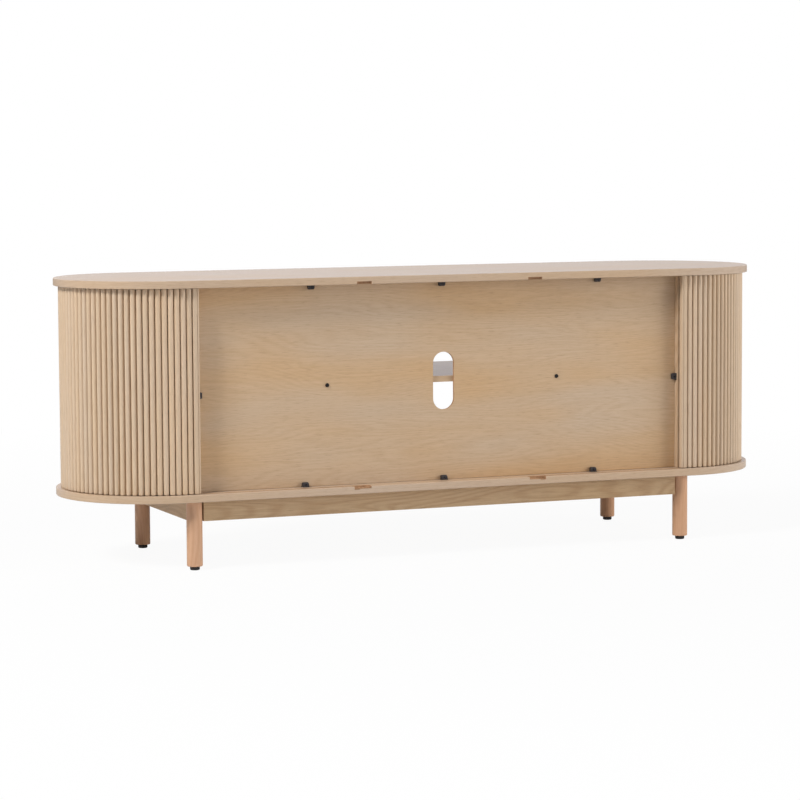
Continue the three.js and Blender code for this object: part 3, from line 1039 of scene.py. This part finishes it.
# A bracket drawn standing on a floor (-Z side) against a wall (-Y side), width along X:
# two rounded lobes side by side on a thin flange
def bracketMesh(width, depth, height):
    half = width / 2
    flange = bracketShape["flange"]
    inset = bracketShape["inset"]
    slope = bracketShape["slope"]
    valley = bracketShape["valley"]
    waist = bracketShape["valleyWidth"] / 2

    def crossing(z, wide, deep, dip):
        return [(-wide, 0, z), (wide, 0, z), (wide, deep, z), (waist, deep, z), (0, deep - dip, z),
                (-waist, deep, z), (-wide, deep, z)]

    topHalf = half - inset * bracketTop["inset"]
    topDepth = depth - inset - slope * bracketTop["slope"]
    mesh = bmesh.new()
    skinRings(mesh, [
        crossing(0, half, depth, 0),
        crossing(flange, half, depth, 0),
        crossing(flange + bracketShape["flangeStep"], half - inset, depth - inset, valley),
        crossing(height - slope, half - inset, depth - inset, valley),
        crossing(height, topHalf, topDepth, valley * bracketTop["valley"]),
    ])
    bmesh.ops.recalc_face_normals(mesh, faces=mesh.faces)
    edges = [edge for edge in mesh.edges if edge.calc_face_angle(0) > bracketShape["easeAngle"]
             and edge.calc_length() > bracketShape["easeLength"]]
    bmesh.ops.bevel(mesh, geom=edges, offset=bracketShape["ease"], segments=2, affect="EDGES", profile=0.5)
    return mesh


# Turns a bracket about Y onto its edge of the panel, and sinks a round recess in its back
def placeBracket(name, turn):
    low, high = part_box(name)
    middle = (low + high) / 2
    size = high - low
    width, height = (size.x, size.z) if turn in (0, math.pi) else (size.z, size.x)
    mesh = bracketMesh(width, size.y, height)
    spot = Matrix.Translation((middle.x, low.y, middle.z))
    turned = spot @ Matrix.Rotation(turn, 4, "Y") @ Matrix.Translation((0, 0, -height / 2))
    bmesh.ops.transform(mesh, matrix=turned, verts=mesh.verts)
    piece = addPiece(f"{name}_finished", mesh, bodyRoot, [bracketPlastic], [name], 30)
    recessFloor = size.y - bracketShape["recessDepth"]
    hole = holeMesh(0, 0, bracketShape["recess"], recessFloor, size.y + cutMargin)
    bmesh.ops.transform(hole, matrix=spot, verts=hole.verts)
    cutAway(piece, hole, 0)
    shadeByFace(piece, 30)


for index in (1, 2, 3):
    placeBracket(f"bracket_bottom_{index}", 0)
    placeBracket(f"bracket_top_{index}", math.pi)
placeBracket("bracket_side_right", -math.pi / 2)
placeBracket("bracket_side_left", math.pi / 2)

screwShape = {
    "segments": 32,
    "headRadius": 0.004,
    "headHeight": 0.0024,
    "headRim": 0.0006,
    "headSteps": 6,
    "shankRadius": 0.0018,
    "tip": 0.4,
    "tipHeight": 0.0004,
    "root": 0.72,
    "neck": 0.8,
    "threadPitch": 0.0012,
    "threadStart": 0.002,
    "threadEnds": 0.004,
    "recessArm": 0.0022,
    "recessWidth": 0.0007,
    "recessDepth": 0.0013,
    "recessReach": 0.0005,
}


# [radius, height] outline of a pan-head screw, from its tip to the crown of its head
def screwProfile(low, high):
    shank = screwShape["shankRadius"]
    pitch = screwShape["threadPitch"]
    headBase = high - screwShape["headHeight"]
    profile = [(axisRadius, low), (shank * screwShape["tip"], low + screwShape["tipHeight"])]
    for turnIndex in range(int((headBase - low - screwShape["threadEnds"]) / pitch)):
        start = low + screwShape["threadStart"] + turnIndex * pitch
        profile += [(shank * screwShape["root"], start), (shank, start + pitch * 0.5)]
    profile += [(shank * screwShape["neck"], headBase), (screwShape["headRadius"], headBase)]
    crown = screwShape["headHeight"] - screwShape["headRim"]
    for step in range(screwShape["headSteps"] + 1):
        angle = math.pi / 2 * step / screwShape["headSteps"]
        radius = max(axisRadius, screwShape["headRadius"] * math.cos(angle))
        profile.append((radius, headBase + screwShape["headRim"] + crown * math.sin(angle)))
    return profile


def buildScrew(name):
    low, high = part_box(name)
    middle = (low + high) / 2
    # turned along Z first, then laid down so that Z becomes Y
    mesh = turnedPiece(screwProfile(low.y, high.y), (0, 0), screwShape["segments"])
    lay = Matrix(((1, 0, 0, middle.x), (0, 0, 1, 0), (0, -1, 0, middle.z), (0, 0, 0, 1)))
    bmesh.ops.transform(mesh, matrix=lay, verts=mesh.verts)
    piece = addPiece(f"{name}_finished", mesh, bodyRoot, [blackSteel], [name], 35)
    top = high.y + screwShape["recessReach"]
    floor = high.y - screwShape["recessDepth"]
    arm = screwShape["recessArm"]
    thin = screwShape["recessWidth"] / 2
    for wide, tall in ((arm, thin), (thin, arm)):
        near = (middle.x - wide, floor, middle.z - tall)
        far = (middle.x + wide, top, middle.z + tall)
        cutAway(piece, boxMesh(near, far), 0)


for sideName in ("left", "right"):
    buildScrew(f"panel_screw_{sideName}")

print("stage: studio")
studio = {
    "floorColour": (0.82, 0.82, 0.82),
    "floorRoughness": 0.9,
    "floorSize": 60,
    "floorDrop": 0.0002,
    "floorWhite": 0.94,
    "floorFade": (0.9, 2.6),
    "surround": 0.15,
    "sheen": 0.9,
    "surroundColour": (0.95, 0.95, 1.0),
    "backdrop": 1.0,
    "lamps": {
        "keyLamp": {"place": (3.95, 1.6, 3.85), "size": 1.5, "power": 240},
        "fillLamp": {"place": (-5.3, 3.3, 1.4), "size": 4.8, "power": 300},
        "frontLamp": {"place": (-1.6, -5.4, 1.5), "size": 3.0, "power": 165},
    },
    "target": (0, 0, 0.3),
}


# 1 where a ray of that kind arrives, such as one from the viewer or off a glossy surface
def rayKind(tree, kind, place):
    return node(tree, "ShaderNodeLightPath", place).outputs[kind]


# Two shaders mixed by a share from 0 to 1
def mixShaders(tree, share, first, second, place):
    blend = node(tree, "ShaderNodeMixShader", place)
    for index, source in enumerate((share, first, second)):
        tree.links.new(source, blend.inputs[index])
    return blend.outputs[0]


# A pale floor that takes the object's soft shadow and fades to white further out
def makeFloorMaterial():
    material, tree, shader = newMaterial("paleFloor")
    links = tree.links
    shader.inputs["Base Color"].default_value = (*studio["floorColour"], 1)
    shader.inputs["Roughness"].default_value = studio["floorRoughness"]
    shader.inputs["Specular IOR Level"].default_value = 0.0
    glow = node(tree, "ShaderNodeEmission", (600, -300))
    glow.inputs["Strength"].default_value = studio["backdrop"]
    distance = node(tree, "ShaderNodeVectorMath", (0, -500), operation="LENGTH")
    links.new(objectPlace(tree, (-200, -500)), distance.inputs[0])
    fade = node(tree, "ShaderNodeMapRange", (200, -500))
    for index, value in enumerate((*studio["floorFade"], studio["floorWhite"], 1.0)):
        fade.inputs[index + 1].default_value = value
    links.new(distance.outputs["Value"], fade.inputs[0])
    share = node(tree, "ShaderNodeMath", (500, -500), operation="MULTIPLY")
    links.new(fade.outputs[0], share.inputs[0])
    links.new(rayKind(tree, "Is Camera Ray", (300, -700)), share.inputs[1])
    blended = mixShaders(tree, share.outputs[0], shader.outputs[0], glow.outputs[0], (800, -200))
    links.new(blended, tree.nodes["Material Output"].inputs["Surface"])
    return material


def layFloor():
    mesh = bmesh.new()
    bmesh.ops.create_grid(mesh, x_segments=8, y_segments=8, size=studio["floorSize"])
    data = bpy.data.meshes.new("floor")
    mesh.to_mesh(data)
    mesh.free()
    data.materials.append(makeFloorMaterial())
    floor = bpy.data.objects.new("floor", data)
    bpy.context.scene.collection.objects.link(floor)
    floor.location.z = cadBox[0].z - studio["floorDrop"]


# The surroundings: dim for light, brighter for reflections, white for the viewer
def makeWorld():
    world = bpy.data.worlds.new("studioWorld")
    world.use_nodes = True
    tree = world.node_tree
    tree.nodes.clear()
    end = node(tree, "ShaderNodeOutputWorld", (800, 0))
    skies = []
    for colour, strength in (
        (studio["surroundColour"], studio["surround"]),
        (studio["surroundColour"], studio["sheen"]),
        ((1, 1, 1), studio["backdrop"]),
    ):
        sky = node(tree, "ShaderNodeBackground", (0, -200 * len(skies)))
        sky.inputs["Color"].default_value = (*colour, 1)
        sky.inputs["Strength"].default_value = strength
        skies.append(sky.outputs[0])
    blended = skies[0]
    for kind, sky in (("Is Glossy Ray", skies[1]), ("Is Camera Ray", skies[2])):
        blended = mixShaders(tree, rayKind(tree, kind, (200, 300)), blended, sky, (400, 0))
    tree.links.new(blended, end.inputs["Surface"])
    bpy.context.scene.world = world


def hangLamp(name, lamp):
    light = bpy.data.lights.new(name, "AREA")
    light.shape = "DISK"
    light.size = lamp["size"]
    light.energy = lamp["power"]
    holder = bpy.data.objects.new(name, light)
    bpy.context.scene.collection.objects.link(holder)
    holder.location = lamp["place"]
    # the lamps light the object without showing as hot spots in its finish
    holder.visible_glossy = False
    aim = Vector(studio["target"]) - Vector(lamp["place"])
    holder.rotation_euler = aim.to_track_quat("-Z", "Y").to_euler()


layFloor()
makeWorld()
for name, lamp in studio["lamps"].items():
    hangLamp(name, lamp)

# Where the camera stands, and its angles in degrees
cameraView = {
    "place": (2.2894, 5.5077, 0.8320),
    "heading": 22.326,
    "tilt": 5.144,
    "roll": -0.320,
    "lens": 131.913,
    "sensor": 36,
    "reach": 200,
}


def setCamera():
    heading, tilt, roll = (math.radians(cameraView[key]) for key in ("heading", "tilt", "roll"))
    flat = math.cos(tilt)
    forward = Vector((-math.sin(heading) * flat, -math.cos(heading) * flat, -math.sin(tilt)))
    level = Vector((-math.cos(heading), math.sin(heading), 0))
    upright = level.cross(forward)
    rightward = level * math.cos(roll) + upright * math.sin(roll)
    upward = upright * math.cos(roll) - level * math.sin(roll)
    data = bpy.data.cameras.new("studioCamera")
    data.lens = cameraView["lens"]
    data.sensor_width = cameraView["sensor"]
    data.clip_end = cameraView["reach"]
    camera = bpy.data.objects.new("studioCamera", data)
    bpy.context.scene.collection.objects.link(camera)
    turn = Matrix((rightward, upward, -forward)).transposed().to_4x4()
    camera.matrix_world = Matrix.Translation(cameraView["place"]) @ turn
    bpy.context.scene.camera = camera


setCamera()
bpy.context.scene.view_settings.view_transform = "Standard"
